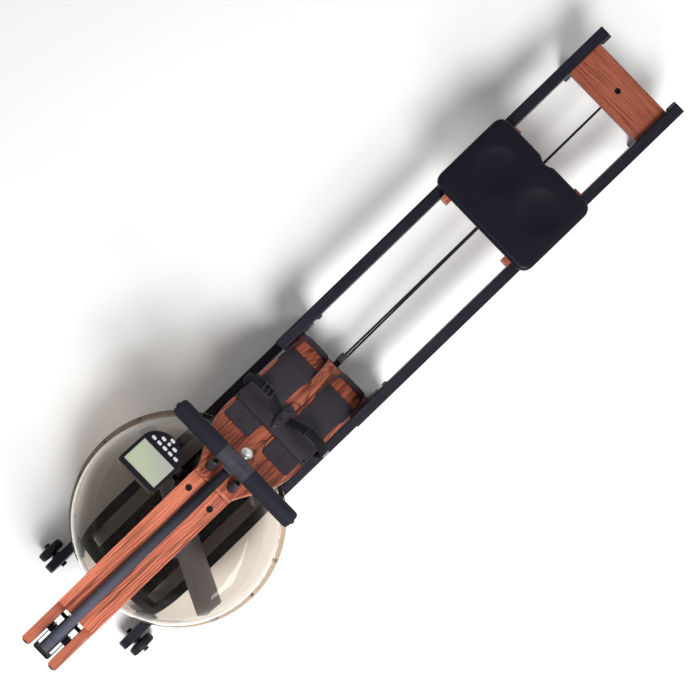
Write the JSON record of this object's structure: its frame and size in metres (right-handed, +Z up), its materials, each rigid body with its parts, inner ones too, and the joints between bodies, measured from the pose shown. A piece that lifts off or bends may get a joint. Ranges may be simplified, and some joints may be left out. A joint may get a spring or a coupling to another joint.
{
  "type": "water rowing machine",
  "caption": "Rowing machine with a smoky water tank and paddle, wooden arms and footboard, black rails, a sliding seat, a pull handle on a strap and a tilting monitor.",
  "frame": {"origin": "on the floor, under the middle of the machine's box", "axes": "+X from the tank end to the seat end, +Y to the rower's right, +Z up"},
  "size_m": [2.12, 0.574, 0.5785],
  "materials": {
    "stained_wood": "satin",
    "black_wood": "satin",
    "pale_wood": "satin",
    "black_plastic": "matte",
    "grey_plastic": "matte",
    "silver_plastic": "satin",
    "smoky_clear": "polished",
    "seal": "matte",
    "rubber": "matte",
    "steel": "brushed",
    "webbing": "woven",
    "strap": "woven",
    "cord": "braided",
    "foam_grip": "matte",
    "seat_cover": "matte",
    "screen": "matte",
    "nylon": "satin"
  },
  "bodies": {
    "frame": {"rail_right": "black_wood", "rail_left": "black_wood", "seat_stops": "black_plastic", "rear_spacer": "stained_wood", "legs": "black_wood", "rubber_feet": "rubber", "beam_right": "black_wood", "beam_left": "black_wood", "cross_members": "black_wood", "tank_lower_shell": "smoky_clear", "tank_upper_shell": "smoky_clear", "tank_seam_ring": "seal", "tank_screws": "steel", "tank_bearings": "nylon", "arm_boards": "stained_wood", "deck_board": "stained_wood", "footboard_struts": "stained_wood", "footboard": "stained_wood", "foot_plates": "black_plastic", "foot_flap": "black_plastic", "foot_straps": "webbing", "strap_hardware": "black_plastic", "handle_rests": "rubber", "strap_guard": "steel", "front_axle": "steel", "axles": "steel", "drive_strap": "strap", "return_straps": "strap", "bungee_cord": "cord", "monitor_bracket": "steel", "frame_bolts": "steel"},
    "seat": {"seat_pad": "seat_cover", "seat_carriage": "pale_wood"},
    "handle": {"handle_grip": "foam_grip", "handle_sleeve": "grey_plastic"},
    "front_pulley": {"front_pulley": "black_plastic"},
    "drive_drum": {"drive_drum": "black_plastic"},
    "impeller": {"impeller": "grey_plastic"},
    "recoil_pulley_upper": {"recoil_pulley_upper": "nylon"},
    "recoil_pulley_lower": {"recoil_pulley_lower": "nylon"},
    "rear_pulley": {"rear_pulley": "nylon"},
    "transport_wheel_right": {"transport_wheel_right": "rubber"},
    "transport_wheel_left": {"transport_wheel_left": "rubber"},
    "monitor": {"monitor_case": "black_plastic", "monitor_screen": "screen"},
    "heel_slider_right": {"heel_slider_right": "black_plastic"},
    "heel_slider_left": {"heel_slider_left": "black_plastic"},
    "seat_roller_front_right": {"seat_roller_front_right": "nylon"},
    "seat_roller_front_left": {"seat_roller_front_left": "nylon"},
    "seat_roller_rear_right": {"seat_roller_rear_right": "nylon"},
    "seat_roller_rear_left": {"seat_roller_rear_left": "nylon"},
    "key_a1": {"key_a1": "silver_plastic"},
    "key_a2": {"key_a2": "silver_plastic"},
    "key_a3": {"key_a3": "silver_plastic"},
    "key_a4": {"key_a4": "silver_plastic"},
    "key_a5": {"key_a5": "silver_plastic"},
    "key_b1": {"key_b1": "silver_plastic"},
    "key_b2": {"key_b2": "silver_plastic"},
    "key_b3": {"key_b3": "silver_plastic"},
    "key_c1": {"key_c1": "silver_plastic"}
  },
  "joints": [
    {"name": "seat_slide", "type": "slide", "parent": "frame", "child": "seat", "axis": [1, 0, 0], "range_m": [-0.425, 0.325]},
    {"name": "handle_pull", "type": "slide", "parent": "frame", "child": "handle", "axis": [1, 0, 0], "range_m": [0, 1.1], "stiffness_N_per_m": 40, "springref_m": -0.3, "deforming": ["drive_strap"]},
    {"name": "front_pulley_spin", "type": "hinge", "parent": "frame", "child": "front_pulley", "pos_m": [-0.988, 0, 0.468], "axis": [0, 1, 0], "range_deg": [0, 1315]},
    {"name": "drum_spin", "type": "hinge", "parent": "frame", "child": "drive_drum", "pos_m": [-0.636, 0, 0.415], "axis": [0, 0, 1], "range_deg": [-1127, 0]},
    {"name": "impeller_spin", "type": "hinge", "parent": "frame", "child": "impeller", "pos_m": [-0.636, 0, 0.25], "axis": [0, 0, 1], "continuous": true},
    {"name": "upper_recoil_spin", "type": "hinge", "parent": "frame", "child": "recoil_pulley_upper", "pos_m": [-0.372, 0.004, 0.372], "axis": [0, 1, 0], "range_deg": [-3498, 0]},
    {"name": "lower_recoil_spin", "type": "hinge", "parent": "frame", "child": "recoil_pulley_lower", "pos_m": [-0.112, 0.004, 0.144], "axis": [0, 1, 0], "range_deg": [0, 3498]},
    {"name": "rear_pulley_spin", "type": "hinge", "parent": "frame", "child": "rear_pulley", "pos_m": [0.98, 0.004, 0.194], "axis": [0, 1, 0], "range_deg": [-1633, 0]},
    {"name": "monitor_tilt", "type": "hinge", "parent": "frame", "child": "monitor", "pos_m": [-0.50193, 0.141, 0.50911], "axis": [0, 1, 0], "range_deg": [-20, 15]},
    {"name": "transport_wheel_right_spin", "type": "hinge", "parent": "frame", "child": "transport_wheel_right", "pos_m": [-0.997, 0.18, 0.045], "axis": [0, 1, 0], "continuous": true},
    {"name": "heel_slider_right_slide", "type": "slide", "parent": "frame", "child": "heel_slider_right", "axis": [0.7604, 0, -0.6494], "range_m": [-0.06, 0.012]},
    {"name": "transport_wheel_left_spin", "type": "hinge", "parent": "frame", "child": "transport_wheel_left", "pos_m": [-0.997, -0.18, 0.045], "axis": [0, 1, 0], "continuous": true},
    {"name": "heel_slider_left_slide", "type": "slide", "parent": "frame", "child": "heel_slider_left", "axis": [0.7604, 0, -0.6494], "range_m": [-0.06, 0.012]},
    {"name": "seat_roller_front_right_spin", "type": "hinge", "parent": "seat", "child": "seat_roller_front_right", "pos_m": [0.4995, 0.14, 0.289], "axis": [0, 1, 0], "range_deg": [-1304, 997]},
    {"name": "seat_roller_front_left_spin", "type": "hinge", "parent": "seat", "child": "seat_roller_front_left", "pos_m": [0.4995, -0.14, 0.289], "axis": [0, 1, 0], "range_deg": [-1304, 997]},
    {"name": "seat_roller_rear_right_spin", "type": "hinge", "parent": "seat", "child": "seat_roller_rear_right", "pos_m": [0.6495, 0.14, 0.289], "axis": [0, 1, 0], "range_deg": [-1304, 997]},
    {"name": "seat_roller_rear_left_spin", "type": "hinge", "parent": "seat", "child": "seat_roller_rear_left", "pos_m": [0.6495, -0.14, 0.289], "axis": [0, 1, 0], "range_deg": [-1304, 997]},
    {"name": "key_a1_press", "type": "slide", "parent": "monitor", "child": "key_a1", "axis": [-0.4226, 0, -0.9063], "range_m": [0, 0.001], "stiffness_N_per_m": 400, "springref_m": -0.001},
    {"name": "key_a2_press", "type": "slide", "parent": "monitor", "child": "key_a2", "axis": [-0.4226, 0, -0.9063], "range_m": [0, 0.001], "stiffness_N_per_m": 400, "springref_m": -0.001},
    {"name": "key_a3_press", "type": "slide", "parent": "monitor", "child": "key_a3", "axis": [-0.4226, 0, -0.9063], "range_m": [0, 0.001], "stiffness_N_per_m": 400, "springref_m": -0.001},
    {"name": "key_a4_press", "type": "slide", "parent": "monitor", "child": "key_a4", "axis": [-0.4226, 0, -0.9063], "range_m": [0, 0.001], "stiffness_N_per_m": 400, "springref_m": -0.001},
    {"name": "key_a5_press", "type": "slide", "parent": "monitor", "child": "key_a5", "axis": [-0.4226, 0, -0.9063], "range_m": [0, 0.001], "stiffness_N_per_m": 400, "springref_m": -0.001},
    {"name": "key_b1_press", "type": "slide", "parent": "monitor", "child": "key_b1", "axis": [-0.4226, 0, -0.9063], "range_m": [0, 0.001], "stiffness_N_per_m": 400, "springref_m": -0.001},
    {"name": "key_b2_press", "type": "slide", "parent": "monitor", "child": "key_b2", "axis": [-0.4226, 0, -0.9063], "range_m": [0, 0.001], "stiffness_N_per_m": 400, "springref_m": -0.001},
    {"name": "key_b3_press", "type": "slide", "parent": "monitor", "child": "key_b3", "axis": [-0.4226, 0, -0.9063], "range_m": [0, 0.001], "stiffness_N_per_m": 400, "springref_m": -0.001},
    {"name": "key_c1_press", "type": "slide", "parent": "monitor", "child": "key_c1", "axis": [-0.4226, 0, -0.9063], "range_m": [0, 0.001], "stiffness_N_per_m": 400, "springref_m": -0.001}
  ],
  "couplings": [
    {"joint": "front_pulley_spin", "follows": "handle_pull", "rad_per_m": 20.833},
    {"joint": "drum_spin", "follows": "handle_pull", "rad_per_m": -17.857},
    {"joint": "upper_recoil_spin", "follows": "handle_pull", "rad_per_m": -55.485},
    {"joint": "lower_recoil_spin", "follows": "handle_pull", "rad_per_m": 55.485},
    {"joint": "rear_pulley_spin", "follows": "handle_pull", "rad_per_m": -25.893},
    {"joint": "seat_roller_front_right_spin", "follows": "seat_slide", "rad_per_m": 53.476},
    {"joint": "seat_roller_front_left_spin", "follows": "seat_slide", "rad_per_m": 53.476},
    {"joint": "seat_roller_rear_right_spin", "follows": "seat_slide", "rad_per_m": 53.476},
    {"joint": "seat_roller_rear_left_spin", "follows": "seat_slide", "rad_per_m": 53.476}
  ]
}
